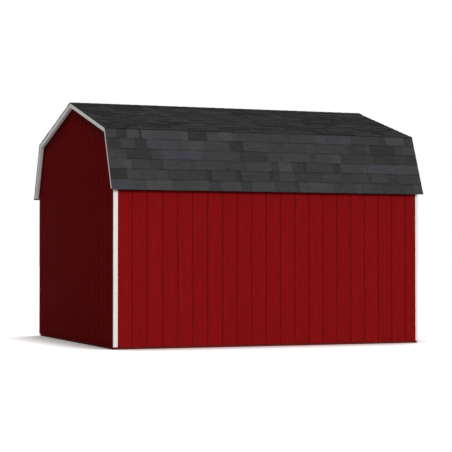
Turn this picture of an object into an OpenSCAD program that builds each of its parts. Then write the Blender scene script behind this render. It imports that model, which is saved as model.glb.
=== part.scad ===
// Barn shed: a stud-framed timber building with grooved red siding, white trim boards
// and a shingled gambrel roof of two slopes a side.
// Millimetres. The ground is z = 0, the ridge runs along Y and the door end faces -Y.
// Left and right are as seen by somebody facing the door, so the left side is -X.

/* [Body] */
// Width over the siding of the two long sides
shed_width = 3658; // [3500:1:3800]
// Length over the siding of the two gable ends
shed_length = 4267; // [4100:1:4450]

/* [Roof shape] */
// Height of the roof's lower edge over the ground
eave_height = 2009; // [1970:1:2050]
// How far the lower edge stands out from the side siding
eave_overhang = 132; // [120:1:140]
// How far the break between the slopes stands in from the side siding
break_inset = 185; // [172:1:198]
// Rise of the steep lower slope
lower_rise = 787; // [760:1:815]
// Rise of the shallow upper slope
upper_rise = 470; // [445:1:500]
// How far the rake boards stand out from the gable siding
rake_depth = 48; // [42:1:56]
// How far the shingles run past the rake boards
shingle_overhang = 6; // [4:1:10]

/* [Roof layers] */
// Thickness of the shingles at their thick lower edges
shingle_thickness = 9; // [8:1:12]
// Step where one shingle course laps the next
lap_step = 4; // [2:1:6]
// Courses of shingles on each upper slope
upper_courses = 12; // [10:1:14]
// Courses of shingles on each lower slope
lower_courses = 6; // [5:1:7]
// Width of the ridge cap on each side of the ridge
ridge_cap_width = 120; // [90:1:140]
// Thickness of the roof sheets under the shingles
roof_sheet = 11; // [9:1:15]
// Thickness of the soffit boards that close the eaves
soffit_thickness = 12; // [9:1:18]
// How far the shingles drop below the soffit boards
shingle_drop = 6; // [3:1:10]

/* [Timber] */
// Thickness of every framing board
board = 38; // [35:1:42]
// Depth of the studs, plates and rafters
stud_depth = 89; // [80:1:95]
// Depth of the floor rims and joists
joist_depth = 140; // [130:1:150]
// Thickness of the floor sheets
floor_sheet = 19; // [15:1:22]
// Height of the top of the wall plates over the roof's lower edge
plate_rise = 142; // [130:1:150]
// Number of floor joists
joist_count = 12; // [10:1:13]
// Number of studs in each long wall
side_stud_count = 12; // [10:1:13]
// Number of studs in the back wall
end_stud_count = 10; // [8:2:12]
// Number of rafter frames
rafter_count = 8; // [6:2:8]
// Thickness of the plywood gussets that join the rafters
gusset_thickness = 12; // [9:1:15]
// How far a gusset reaches along each rafter
gusset_reach = 240; // [180:1:280]

/* [Siding and trim] */
// Thickness of the siding sheets
siding = 12; // [11:1:16]
// Height of the lower edge of the siding over the ground
siding_clear = 30; // [24:1:36]
// Spacing of the upright grooves
groove_pitch = 203.2; // [195:0.1:210]
// Width of a groove
groove_width = 10; // [8:1:14]
// Depth of a groove
groove_depth = 5; // [3:1:6]
// Distance from the back corner to the first groove of a long side
first_groove = 249; // [230:1:265]
// Width of the rake boards, square to the roof
rake_width = 55; // [48:1:62]
// Width of the corner boards
corner_width = 58; // [50:1:66]
// Thickness of the corner boards on the long sides
side_corner_thickness = 19; // [15:1:25]
// Thickness of the corner boards on the door end
front_corner_thickness = 40; // [30:1:44]

/* [Door] */
// How far the sill under the door end stands out from the siding
sill_reach = 28; // [22:1:30]
// Clear width of the doorway between its posts
door_width = 1524; // [1400:1:1600]
// Height of the header over the doorway
header_height = 89; // [80:1:110]
// How far the leaves lap over the posts and the header
leaf_lap = 20; // [15:1:25]
// Play round the edges of the leaves
leaf_play = 3; // [2:1:5]
// Height of the lower edge of the leaves over the ground
leaf_clear = 36; // [30:1:45]
// Width of the casing boards round the doorway
casing_width = 64; // [55:1:72]
// Thickness of the casing boards, which are flush with the leaves
casing_thickness = 19; // [15:1:25]
// Length of a hinge strap on its leaf
strap_length = 260; // [220:1:320]
// Height of a hinge strap at the pin
strap_height = 42; // [36:1:50]
// Height of a hinge strap at its tip
strap_tip = 22; // [16:1:30]
// Thickness of the hinge steel
hinge_steel = 4; // [3:1:5]
// Radius of the hinge pin
pin_radius = 7; // [6:0.5:8]
// Width of the hinge plate on the casing
hinge_plate_width = 44; // [36:1:50]
// Height of the hinge plate on the casing
hinge_plate_height = 120; // [100:1:140]
// Distance of the outer hinges from the ends of the leaf
hinge_inset = 190; // [150:1:260]
// Height of the middle of the pull handle over the ground
handle_height = 1010; // [950:1:1080]
// Distance of the pull handle from the middle of the doorway
handle_offset = 72; // [60:1:100]
// Length of the pull handle
handle_length = 190; // [150:1:230]
// Radius of the bar of the pull handle
handle_radius = 8; // [7:0.5:9]
// How far the middle of the bar stands out from the leaf
handle_reach = 30; // [26:1:32]

/* [Hidden] */
half_width = shed_width / 2;
half_length = shed_length / 2;
frame_x = half_width - siding;
frame_y = half_length - siding;
floor_top = joist_depth + floor_sheet;

eave_x = half_width + eave_overhang;
break_x = half_width - break_inset;
break_height = eave_height + lower_rise;
ridge_height = break_height + upper_rise;
upper_angle = atan2(upper_rise, break_x);
lower_angle = atan2(lower_rise, eave_x - break_x);
upper_length = norm([break_x, upper_rise]);
lower_length = norm([eave_x - break_x, lower_rise]);
upper_normal = [sin(upper_angle), cos(upper_angle)];
lower_normal = [sin(lower_angle), cos(lower_angle)];

// Depths under the outer roof surface, square to each slope
sheet_depth = shingle_thickness;
rafter_top = sheet_depth + roof_sheet;
rafter_bottom = rafter_top + stud_depth;
rake_bottom = sheet_depth + rake_width;

// Half the length of the shingles
shingle_y = half_length + rake_depth + shingle_overhang;
// Where the face of a long side meets the underside of the roof sheets
eave_corner = [half_width, lower_height(half_width, rafter_top)];

soffit_bottom = eave_height + shingle_drop;
tail_foot = soffit_bottom + soffit_thickness;
plate_top = eave_height + plate_rise;
stud_foot = floor_top + board;
stud_top = plate_top - board;
room_x = frame_x - stud_depth;
room_y = frame_y - stud_depth;

door_half = door_width / 2;
door_head = stud_top - header_height;
leaf_edge = door_half + leaf_lap;
leaf_top = door_head + leaf_lap;
door_edge = leaf_edge + leaf_play;
door_top = leaf_top + leaf_play;
leaf_face = -half_length - casing_thickness;
pin_x = leaf_edge + leaf_play / 2;

wood_colour = [0.76, 0.62, 0.44];
sheet_colour = [0.66, 0.52, 0.34];
red_colour = [0.45, 0.05, 0.05];
white_colour = [0.93, 0.92, 0.90];
shingle_colour = [0.22, 0.22, 0.23];
steel_colour = [0.10, 0.10, 0.11];
$fn = 32;

// Roof lines, for the right half of the cross-section

// Height at a distance from the middle, at a depth under the upper slope
function upper_height(x, depth) = ridge_height - x * tan(upper_angle) - depth / cos(upper_angle);

// Height at a distance from the middle, at a depth under the lower slope
function lower_height(x, depth) =
  break_height - (x - break_x) * tan(lower_angle) - depth / cos(lower_angle);

// Distance from the middle at a height, at a depth under the lower slope
function lower_reach(z, depth) =
  break_x + (break_height - z - depth / cos(lower_angle)) / tan(lower_angle);

// Distance from the middle at which the two slopes meet, at a depth under both
function break_reach(depth) =
  (break_x * tan(lower_angle) - upper_rise + depth * (1 / cos(upper_angle) - 1 / cos(lower_angle)))
  / (tan(lower_angle) - tan(upper_angle));

function ridge_point(depth) = [0, upper_height(0, depth)];
function break_point(depth) = [break_reach(depth), upper_height(break_reach(depth), depth)];
function eave_point(z, depth) = [lower_reach(z, depth), z];

// Point a distance down the upper slope from the ridge
function upper_point(run, depth) =
  [run * cos(upper_angle), ridge_height - run * sin(upper_angle)] - depth * upper_normal;

// Point a distance up the lower slope from the eave
function lower_point(run, depth) =
  [eave_x - run * cos(lower_angle), eave_height + run * sin(lower_angle)] - depth * lower_normal;

// Height of the rafters' undersides at a distance from the middle
function under_rafters(x) = min(upper_height(abs(x), rafter_bottom), lower_height(abs(x), rafter_bottom));

// Place of one of a number of boards spread evenly between two faces
function spread(index, count, reach) = -reach + board / 2 + index * (2 * reach - board) / (count - 1);

// Shapes shared by several pieces

// Cross-section drawn in X and Z, drawn out along Y from one face to another
module along_y(near, far) {
  translate([0, far, 0])
    rotate([90, 0, 0])
      linear_extrude(height = far - near)
        children();
}

// Box between two corners
module block(low, high) {
  translate(low)
    cube(high - low);
}

// Repeats what is given on the other side of the ridge line
module both_sides() {
  children();
  mirror([1, 0, 0])
    children();
}

// Repeats what is given at both ends of the shed
module both_ends() {
  children();
  mirror([0, 1, 0])
    children();
}

// Band of the upper slope between two depths
module upper_band(top, bottom) {
  polygon([ridge_point(top), break_point(top), break_point(bottom), ridge_point(bottom)]);
}

// Band of the lower slope between two depths, cut level at its foot
module lower_band(top, bottom, foot) {
  polygon([break_point(top), eave_point(foot, top), eave_point(foot, bottom), break_point(bottom)]);
}

// Lapped courses of the upper slope
module upper_shingle_band() {
  course = upper_length / upper_courses;
  laps = [
    for (index = [1 : upper_courses - 1], depth = [lap_step, 0])
      upper_point(upper_length - index * course, depth)
  ];
  inner = [ridge_point(sheet_depth), break_point(sheet_depth), break_point(0)];
  polygon(concat(inner, laps, [ridge_point(lap_step)]));
}

// Lapped courses of the lower slope
module lower_shingle_band() {
  course = lower_length / lower_courses;
  laps = [
    for (index = [1 : lower_courses - 1], depth = [lap_step, 0])
      lower_point(index * course, depth)
  ];
  inner = [break_point(sheet_depth), eave_point(eave_height, sheet_depth), [eave_x, eave_height]];
  polygon(concat(inner, laps, [break_point(lap_step)]));
}

// Lower rafter, notched to sit on the wall plate with a tail outside the siding
module lower_rafter_band() {
  polygon([
    break_point(rafter_top),
    eave_point(tail_foot, rafter_top),
    [half_width, tail_foot],
    [half_width, plate_top],
    eave_point(plate_top, rafter_bottom),
    break_point(rafter_bottom)
  ]);
}

// Draws a rafter cross-section at every rafter frame
module at_rafters() {
  for (index = [0 : rafter_count - 1]) {
    middle = spread(index, rafter_count, frame_y);
    along_y(middle - board / 2, middle + board / 2)
      children();
  }
}

// Draws a gusset on the inward face of every rafter frame
module at_gussets() {
  for (index = [0 : rafter_count / 2 - 1]) {
    face = spread(index, rafter_count, frame_y) + board / 2;
    both_ends()
      along_y(face, face + gusset_thickness)
        children();
  }
}

// Outline of a gable end from a level up to the roof sheets
module gable_outline(foot) {
  right = [[half_width, foot], eave_corner, break_point(rafter_top)];
  left = [for (index = [2 : -1 : 0]) [-right[index][0], right[index][1]]];
  polygon(concat(right, [ridge_point(rafter_top)], left));
}

// Grooves of an end wall or a door leaf, spaced out from the middle of the shed
module end_grooves(left, right, face) {
  first = ceil((left + groove_width) / groove_pitch);
  last = floor((right - groove_width) / groove_pitch);
  for (index = [first : last]) {
    middle = index * groove_pitch;
    block(
      [middle - groove_width / 2, face, 0],
      [middle + groove_width / 2, face + groove_depth, ridge_height]
    );
  }
}

// Grooved sheet of one long side, on the right
module side_sheet() {
  span = frame_y + half_length - first_groove;
  difference() {
    block([frame_x, -frame_y, siding_clear], [half_width, frame_y, plate_top]);
    for (index = [0 : floor(span / groove_pitch)]) {
      middle = half_length - first_groove - index * groove_pitch;
      block(
        [half_width - groove_depth, middle - groove_width / 2, 0],
        [half_width + groove_depth, middle + groove_width / 2, ridge_height]
      );
    }
  }
}

// Grooved sheet beside the doorway, on the right
module front_side_sheet() {
  difference() {
    block([door_edge, -half_length, siding_clear], [half_width, -frame_y, door_top]);
    end_grooves(door_edge, half_width, -half_length);
  }
}

// Stud of an end wall, at a distance from the middle
module end_stud(middle) {
  block([middle - board / 2, -frame_y, stud_foot], [middle + board / 2, -room_y, stud_top]);
}

// Leaf of the door, on the right
module leaf() {
  difference() {
    block([leaf_play / 2, leaf_face, leaf_clear], [leaf_edge, -frame_y, leaf_top]);
    end_grooves(groove_pitch / 2, leaf_edge, leaf_face);
  }
}

// Hinge of the right leaf, its middle at z = 0
module hinge() {
  plate_edge = pin_x + hinge_plate_width;
  along_y(leaf_face - hinge_steel, leaf_face) {
    polygon([
      [pin_x, -strap_height / 2],
      [pin_x, strap_height / 2],
      [pin_x - strap_length, strap_tip / 2],
      [pin_x - strap_length, -strap_tip / 2]
    ]);
    translate([pin_x, -hinge_plate_height / 2])
      square([plate_edge - pin_x, hinge_plate_height]);
  }
  translate([pin_x, leaf_face - pin_radius, -strap_height / 2])
    cylinder(h = strap_height, r = pin_radius);
}

// Floor

module floor_rims() {
  color(wood_colour)
    both_sides()
      block([frame_x - board, -frame_y, 0], [frame_x, frame_y, joist_depth]);
}

module floor_joists() {
  color(wood_colour)
    for (index = [0 : joist_count - 1]) {
      middle = spread(index, joist_count, frame_y);
      block([board - frame_x, middle - board / 2, 0], [frame_x - board, middle + board / 2, joist_depth]);
    }
}

module floor_deck() {
  color(sheet_colour)
    block([-frame_x, -frame_y, joist_depth], [frame_x, frame_y, floor_top]);
}

module door_sill() {
  color(wood_colour)
    block([-frame_x, -half_length - sill_reach, 0], [frame_x, -frame_y, siding_clear]);
}

// Wall frames

module side_plates() {
  color(wood_colour)
    both_sides()
      for (foot = [floor_top, stud_top])
        block([room_x, -frame_y, foot], [frame_x, frame_y, foot + board]);
}

module side_studs() {
  color(wood_colour)
    both_sides()
      for (index = [0 : side_stud_count - 1]) {
        middle = spread(index, side_stud_count, frame_y);
        block([room_x, middle - board / 2, stud_foot], [frame_x, middle + board / 2, stud_top]);
      }
}

module end_plates() {
  color(wood_colour) {
    both_ends()
      block([-room_x, -frame_y, stud_top], [room_x, -room_y, plate_top]);
    block([-room_x, room_y, floor_top], [room_x, frame_y, stud_foot]);
    both_sides()
      block([door_half, -frame_y, floor_top], [room_x, -room_y, stud_foot]);
  }
}

module end_studs() {
  color(wood_colour) {
    mirror([0, 1, 0])
      for (index = [0 : end_stud_count - 1])
        end_stud(spread(index, end_stud_count, room_x));
    both_sides()
      for (share = [0, 0.5, 1])
        end_stud(door_half + board / 2 + share * (room_x - door_half - board));
  }
}

module gable_studs() {
  color(wood_colour)
    both_ends()
      for (index = [1 : end_stud_count - 2]) {
        left = spread(index, end_stud_count, room_x) - stud_depth / 2;
        right = left + stud_depth;
        along_y(-frame_y, board - frame_y)
          polygon([
            [left, plate_top],
            [right, plate_top],
            [right, under_rafters(right)],
            [left, under_rafters(left)]
          ]);
      }
}

module door_header() {
  color(wood_colour)
    block([-door_half, -frame_y, door_head], [door_half, -room_y, stud_top]);
}

// Siding

module left_siding() {
  color(red_colour)
    mirror([1, 0, 0])
      side_sheet();
}

module right_siding() {
  color(red_colour)
    side_sheet();
}

module back_siding() {
  color(red_colour)
    difference() {
      along_y(frame_y, half_length)
        gable_outline(siding_clear);
      end_grooves(-half_width, half_width, half_length - groove_depth);
    }
}

module front_left_siding() {
  color(red_colour)
    mirror([1, 0, 0])
      front_side_sheet();
}

module front_right_siding() {
  color(red_colour)
    front_side_sheet();
}

module front_gable_siding() {
  color(red_colour)
    difference() {
      along_y(-half_length, -frame_y)
        gable_outline(door_top);
      end_grooves(-half_width, half_width, -half_length);
    }
}

// Roof frame

module left_upper_rafters() {
  color(wood_colour)
    mirror([1, 0, 0])
      at_rafters()
        upper_band(rafter_top, rafter_bottom);
}

module right_upper_rafters() {
  color(wood_colour)
    at_rafters()
      upper_band(rafter_top, rafter_bottom);
}

module left_lower_rafters() {
  color(wood_colour)
    mirror([1, 0, 0])
      at_rafters()
        lower_rafter_band();
}

module right_lower_rafters() {
  color(wood_colour)
    at_rafters()
      lower_rafter_band();
}

module ridge_gussets() {
  right = [upper_point(gusset_reach, rafter_top), upper_point(gusset_reach, rafter_bottom)];
  left = [for (index = [1, 0]) [-right[index][0], right[index][1]]];
  color(sheet_colour)
    at_gussets()
      polygon(concat([ridge_point(rafter_top)], right, left));
}

module break_gussets() {
  color(sheet_colour)
    both_sides()
      at_gussets()
        polygon([
          upper_point(upper_length - gusset_reach, rafter_top),
          break_point(rafter_top),
          lower_point(lower_length - gusset_reach, rafter_top),
          lower_point(lower_length - gusset_reach, rafter_bottom),
          upper_point(upper_length - gusset_reach, rafter_bottom)
        ]);
}

// Roof cover

module left_upper_deck() {
  color(sheet_colour)
    mirror([1, 0, 0])
      along_y(-half_length, half_length)
        upper_band(sheet_depth, rafter_top);
}

module right_upper_deck() {
  color(sheet_colour)
    along_y(-half_length, half_length)
      upper_band(sheet_depth, rafter_top);
}

module left_lower_deck() {
  color(sheet_colour)
    mirror([1, 0, 0])
      along_y(-half_length, half_length)
        lower_band(sheet_depth, rafter_top, soffit_bottom);
}

module right_lower_deck() {
  color(sheet_colour)
    along_y(-half_length, half_length)
      lower_band(sheet_depth, rafter_top, soffit_bottom);
}

module left_upper_shingles() {
  color(shingle_colour)
    mirror([1, 0, 0])
      along_y(-shingle_y, shingle_y)
        upper_shingle_band();
}

module right_upper_shingles() {
  color(shingle_colour)
    along_y(-shingle_y, shingle_y)
      upper_shingle_band();
}

module left_lower_shingles() {
  color(shingle_colour)
    mirror([1, 0, 0])
      along_y(-shingle_y, shingle_y)
        lower_shingle_band();
}

module right_lower_shingles() {
  color(shingle_colour)
    along_y(-shingle_y, shingle_y)
      lower_shingle_band();
}

module ridge_cap() {
  course = upper_length / upper_courses;
  low = ridge_point(lap_step);
  foot = low + (upper_point(course, 0) - low) * ridge_cap_width / course;
  edge = foot + lap_step * upper_normal;
  color(shingle_colour)
    along_y(-shingle_y, shingle_y)
      polygon([ridge_point(0), edge, foot, low, [-foot[0], foot[1]], [-edge[0], edge[1]]]);
}

module eave_soffits() {
  color(red_colour)
    both_sides()
      along_y(-frame_y, frame_y)
        polygon([
          [half_width, soffit_bottom],
          eave_point(soffit_bottom, rafter_top),
          eave_point(tail_foot, rafter_top),
          [half_width, tail_foot]
        ]);
}

module eave_returns() {
  color(red_colour)
    both_sides()
      both_ends()
        along_y(frame_y, half_length)
          polygon([[half_width, soffit_bottom], eave_point(soffit_bottom, rafter_top), eave_corner]);
}

// White trim

module left_upper_rakes() {
  color(white_colour)
    mirror([1, 0, 0])
      both_ends()
        along_y(half_length, half_length + rake_depth)
          upper_band(sheet_depth, rake_bottom);
}

module right_upper_rakes() {
  color(white_colour)
    both_ends()
      along_y(half_length, half_length + rake_depth)
        upper_band(sheet_depth, rake_bottom);
}

module left_lower_rakes() {
  color(white_colour)
    mirror([1, 0, 0])
      both_ends()
        along_y(half_length, half_length + rake_depth)
          lower_band(sheet_depth, rake_bottom, soffit_bottom);
}

module right_lower_rakes() {
  color(white_colour)
    both_ends()
      along_y(half_length, half_length + rake_depth)
        lower_band(sheet_depth, rake_bottom, soffit_bottom);
}

module corner_boards() {
  inner = half_width - corner_width;
  color(white_colour)
    both_sides() {
      block(
        [half_width, half_length - corner_width, siding_clear],
        [half_width + side_corner_thickness, half_length, soffit_bottom]
      );
      along_y(-half_length - front_corner_thickness, -half_length)
        polygon([
          [inner, siding_clear],
          [half_width, siding_clear],
          [half_width, lower_height(half_width, rake_bottom)],
          [inner, lower_height(inner, rake_bottom)]
        ]);
    }
}

// Door

module left_door_leaf() {
  color(red_colour)
    mirror([1, 0, 0])
      leaf();
}

module right_door_leaf() {
  color(red_colour)
    leaf();
}

module door_side_casings() {
  color(white_colour)
    both_sides()
      block([door_edge, leaf_face, siding_clear], [door_edge + casing_width, -half_length, door_top]);
}

module door_head_casing() {
  reach = door_edge + casing_width;
  color(white_colour)
    block([-reach, leaf_face, door_top], [reach, -half_length, door_top + casing_width]);
}

module door_hinges() {
  middle = (leaf_clear + leaf_top) / 2;
  color(steel_colour)
    both_sides()
      for (height = [leaf_clear + hinge_inset, middle, leaf_top - hinge_inset])
        translate([0, 0, height])
          hinge();
}

module door_handle() {
  bar_y = leaf_face - handle_reach;
  foot = handle_height - handle_length / 2;
  color(steel_colour)
    translate([handle_offset, 0, foot]) {
      translate([0, bar_y, 0])
        cylinder(h = handle_length, r = handle_radius);
      for (height = [2 * handle_radius, handle_length - 2 * handle_radius])
        translate([0, bar_y, height])
          rotate([-90, 0, 0])
            cylinder(h = handle_reach, r = handle_radius);
    }
}

floor_rims();
floor_joists();
floor_deck();
door_sill();
side_plates();
side_studs();
end_plates();
end_studs();
gable_studs();
door_header();
left_siding();
right_siding();
back_siding();
front_left_siding();
front_right_siding();
front_gable_siding();
left_upper_rafters();
right_upper_rafters();
left_lower_rafters();
right_lower_rafters();
ridge_gussets();
break_gussets();
left_upper_deck();
right_upper_deck();
left_lower_deck();
right_lower_deck();
left_upper_shingles();
right_upper_shingles();
left_lower_shingles();
right_lower_shingles();
ridge_cap();
eave_soffits();
eave_returns();
left_upper_rakes();
right_upper_rakes();
left_lower_rakes();
right_lower_rakes();
corner_boards();
left_door_leaf();
right_door_leaf();
door_side_casings();
door_head_casing();
door_hinges();
door_handle();
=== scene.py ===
# %% [markdown]
# # A barn shed, dressed for its portrait
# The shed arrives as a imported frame: every board, sheet and rafter is already a solid at its real
# size. This lesson leaves those solids where they are and adds what makes them look like painted
# timber and laid shingles: eased edges, nail heads, lapped tabs, paint, grain, light and a camera.

# %% Load the frame
import math
import random

import bmesh
import bpy
import numpy as np
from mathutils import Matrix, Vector


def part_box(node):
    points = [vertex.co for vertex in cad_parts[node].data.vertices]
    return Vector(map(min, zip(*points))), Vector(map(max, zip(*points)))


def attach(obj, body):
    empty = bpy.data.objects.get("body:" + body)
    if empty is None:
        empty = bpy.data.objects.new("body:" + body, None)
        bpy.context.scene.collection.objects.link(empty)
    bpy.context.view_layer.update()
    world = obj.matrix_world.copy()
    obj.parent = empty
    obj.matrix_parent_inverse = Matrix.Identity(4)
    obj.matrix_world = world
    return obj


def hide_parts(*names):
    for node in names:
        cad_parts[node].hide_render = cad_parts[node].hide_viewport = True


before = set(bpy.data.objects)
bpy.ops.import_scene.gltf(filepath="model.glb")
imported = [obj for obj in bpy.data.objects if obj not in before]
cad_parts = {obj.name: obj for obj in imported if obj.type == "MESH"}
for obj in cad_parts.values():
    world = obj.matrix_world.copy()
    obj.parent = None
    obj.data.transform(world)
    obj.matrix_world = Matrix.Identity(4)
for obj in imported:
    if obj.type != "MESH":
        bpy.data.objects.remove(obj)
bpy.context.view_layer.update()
print("frame holds", len(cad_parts), "nodes")

# %% [markdown]
# ## Reading sizes off the solids
# A part that is placed by numbers copied from somewhere else goes wrong as soon as the shed changes.
# So the few lines that everything below hangs on are measured here, from the corners of the solids:
# the faces of the walls, and the ridge, break and eave of the roof's outer surface.

# %% Measure the walls and the roof
def corners(node):
    """All the corners of a solid, one row each."""
    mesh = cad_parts[node].data
    flat = np.empty(len(mesh.vertices) * 3)
    mesh.vertices.foreach_get("co", flat)
    return flat.reshape(-1, 3)


side_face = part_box("right_siding")[1].x
side_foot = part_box("right_siding")[0].z
end_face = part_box("back_siding")[1].y
roof_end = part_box("right_upper_shingles")[1].y

upper_corners = corners("right_upper_shingles")
lower_corners = corners("right_lower_shingles")
ridge = np.array([0.0, corners("ridge_cap")[:, 2].max()])
break_edge = upper_corners[upper_corners[:, 0].argmax()][[0, 2]]
eave_edge = lower_corners[lower_corners[:, 0].argmax()][[0, 2]]
upper_pitch = math.atan2(ridge[1] - break_edge[1], break_edge[0])
sheet_ridge = corners("right_upper_deck")[:, 2].max()
shingle_layer = (ridge[1] - sheet_ridge) * math.cos(upper_pitch)
print("ridge", ridge.round(3), "break", break_edge.round(3), "eave", eave_edge.round(3))

# %% [markdown]
# ## The camera
# The picture looks at one corner of the shed from about 20 m away through a long lens, so the walls
# hardly taper. Lens, place and direction were fitted to the corners of the walls and the roof. The
# camera stands at chest height and looks up by about one degree, which keeps the corners upright.

# %% Place the camera
FRAME_PIXELS = 452
FOCAL_PIXELS = 1537.1
SENSOR_MM = 36.0
CAMERA_PLACE = Vector((-20.261, 7.819, 1.172))
CAMERA_TURN, CAMERA_RISE = -21.348, 1.116
FARTHEST_SEEN = 500.0


def new_object(name, data):
    """Puts a new object into the scene."""
    made = bpy.data.objects.new(name, data)
    bpy.context.scene.collection.objects.link(made)
    return made


def aim(thing, turn, rise):
    """Points a camera or a lamp: a turn from +X towards +Y and a rise, both in degrees."""
    turn, rise = math.radians(turn), math.radians(rise)
    level = math.cos(rise)
    ahead = Vector((math.cos(turn) * level, math.sin(turn) * level, math.sin(rise)))
    thing.rotation_mode = "QUATERNION"
    thing.rotation_quaternion = ahead.to_track_quat("-Z", "Y")


camera = new_object("camera", bpy.data.cameras.new("camera"))
camera.data.sensor_width = SENSOR_MM
camera.data.lens = FOCAL_PIXELS * SENSOR_MM / FRAME_PIXELS
camera.data.clip_end = FARTHEST_SEEN
camera.location = CAMERA_PLACE
aim(camera, CAMERA_TURN, CAMERA_RISE)
bpy.context.scene.camera = camera
print("lens", round(camera.data.lens, 1), "mm")

# %% [markdown]
# ## Shader maths as Python
# A material in Blender is a graph of nodes, and drawing one in code soon buries the idea under links.
# A small class wraps a node's output, so that `1 - mask` or `grain * 0.2` adds the Math node by itself.
# Everything that isn't arithmetic comes from one method, `node`, which takes the kind of node, its
# settings and what goes into its sockets.

# %% Wrap a node's output
class Wire:
    """One output of a node. Arithmetic on it adds Math nodes to the same finish."""

    def __init__(self, finish, socket):
        self.finish = finish
        self.socket = socket

    def maths(self, operation, left, right=0.0):
        return self.finish.node("ShaderNodeMath", {"operation": operation}, {0: left, 1: right})

    def __add__(self, other):
        return self.maths("ADD", self, other)

    def __sub__(self, other):
        return self.maths("SUBTRACT", self, other)

    def __mul__(self, other):
        return self.maths("MULTIPLY", self, other)

    def __truediv__(self, other):
        return self.maths("DIVIDE", self, other)

    def __rsub__(self, other):
        return self.maths("SUBTRACT", other, self)

    def __rtruediv__(self, other):
        return self.maths("DIVIDE", other, self)

    def __gt__(self, other):
        return self.maths("GREATER_THAN", self, other)

    def __lt__(self, other):
        return self.maths("LESS_THAN", self, other)

    def floor(self):
        return self.maths("FLOOR", self)

    def size(self):
        return self.maths("ABSOLUTE", self)

    __radd__ = __add__
    __rmul__ = __mul__


# %% Collect nodes into a finish
class Finish:
    """A node tree with the one method that adds a node to it."""

    def __init__(self, name, owner=None):
        self.owner = owner or bpy.data.materials.new(name)
        self.owner.use_nodes = True
        self.tree = self.owner.node_tree

    def node(self, kind, settings=None, sockets=None, out=0):
        made = self.tree.nodes.new(kind)
        for name, value in (settings or {}).items():
            if name == "stops":
                self.set_stops(made.color_ramp, value)
            else:
                setattr(made, name, value)
        for name, value in (sockets or {}).items():
            self.feed(made.inputs[name], value)
        return Wire(self, made.outputs[out])

    def feed(self, socket, value):
        if isinstance(value, Wire):
            self.tree.links.new(value.socket, socket)
        else:
            socket.default_value = value

    def set_stops(self, ramp, stops):
        while len(ramp.elements) < len(stops):
            ramp.elements.new(1.0)
        for element, (position, colour) in zip(ramp.elements, stops):
            element.position = position
            element.color = colour

    def place(self):
        """Where the surface is, in metres. Every piece sits at the origin of the shed's frame."""
        return self.node("ShaderNodeTexCoord", out="Object")

    def axis(self, vector, letter):
        return self.node("ShaderNodeSeparateXYZ", None, {0: vector}, out=letter)

    def channel(self, colour, name):
        return self.node("ShaderNodeSeparateColor", None, {0: colour}, out=name)

    def stretch(self, vector, scale):
        return self.node("ShaderNodeVectorMath", {"operation": "MULTIPLY"}, {0: vector, 1: scale})

    def noise(self, vector, scale, detail=2.0, rough=0.55, warp=0.0):
        sockets = {"Vector": vector, "Scale": scale, "Detail": detail, "Roughness": rough}
        return self.node("ShaderNodeTexNoise", None, {**sockets, "Distortion": warp})

    def cells(self, vector, scale, out):
        return self.node("ShaderNodeTexVoronoi", None, {"Vector": vector, "Scale": scale}, out=out)

    def between(self, value, low, high, at_low, at_high):
        """Turns a range of values into another, and holds it at both ends."""
        sockets = {0: value, 1: low, 2: high, 3: at_low, 4: at_high}
        return self.node("ShaderNodeMapRange", None, sockets)

    def blend(self, share, low, high, how="MIX"):
        settings = {"data_type": "RGBA", "blend_type": how}
        return self.node("ShaderNodeMix", settings, {0: share, 6: low, 7: high}, out=2)

    def seen(self):
        """1 for what the camera, a reflection or glass looks at, and 0 for light between surfaces."""
        camera, glossy, glass = (
            self.node("ShaderNodeLightPath", out=f"Is {kind} Ray")
            for kind in ("Camera", "Glossy", "Transmission")
        )
        return camera.maths("MAXIMUM", camera, glossy.maths("MAXIMUM", glossy, glass))

    def paint(self, colour, rough, height, depth, strength, specular):
        """Ends a finish: its colour, roughness and sheen, and a bump from a height."""
        relief = {"Height": height, "Distance": depth, "Strength": strength}
        bump = self.node("ShaderNodeBump", None, relief)
        looks = {"Base Color": colour, "Roughness": rough, "Normal": bump, "Specular IOR Level": specular}
        for name, value in looks.items():
            self.feed(self.tree.nodes["Principled BSDF"].inputs[name], value)
        return self.owner


# %% Read a screen's colours
def display(*levels):
    """Turns a colour as a screen shows it, 0 to 255, into the linear colour that shaders use."""
    shares = [level / 255 for level in levels]
    linear = [
        share / 12.92 if share <= 0.04045 else ((share + 0.055) / 1.055) ** 2.4
        for share in shares
    ]
    return (*linear, 1.0)


print("a screen's middle grey is", round(display(128)[0], 3), "to a shader")

# %% [markdown]
# ## Light
# The picture is lit like a catalogue shot: one large light on the long wall, low enough to leave the top
# slope of the roof darker than the steep one, and a weak even light all round that leaves the gable
# less than half as bright. Two sun lamps side by side make the large light: one with a wide disc, and a
# weaker one that passes along the gable and catches the white boards at its far edge. The world is the
# even light. A nearly level lamp fills in the door end and the far side. To the camera and to
# reflections the world is plain white, so that the even light can stay weak.

# %% Light the scene
EVEN_LIGHT = 0.34


def add_sun(name, turn, angle, strength, disc):
    """A sun lamp whose light heads along +X, turned towards +Y and tipped down, by degrees."""
    lamp = new_object(name, bpy.data.lights.new(name, "SUN"))
    lamp.data.energy = strength
    lamp.data.angle = math.radians(disc)
    aim(lamp, turn, -angle)


add_sun("key_light", turn=16, angle=11, strength=1.42, disc=14)
add_sun("grazing_light", turn=-1, angle=11, strength=0.65, disc=6)
add_sun("fill_light", turn=135, angle=3, strength=1.2, disc=5)

sky = Finish("even_light", bpy.data.worlds.new("even_light"))
background = sky.tree.nodes["Background"].inputs
background["Color"].default_value = (1.0, 1.0, 1.0, 1.0)
sky.feed(background["Strength"], EVEN_LIGHT + sky.seen() * (1.0 - EVEN_LIGHT))
bpy.context.scene.world = sky.owner
bpy.context.scene.view_settings.view_transform = "Standard"
print("three lamps and an even light of", EVEN_LIGHT)

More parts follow.
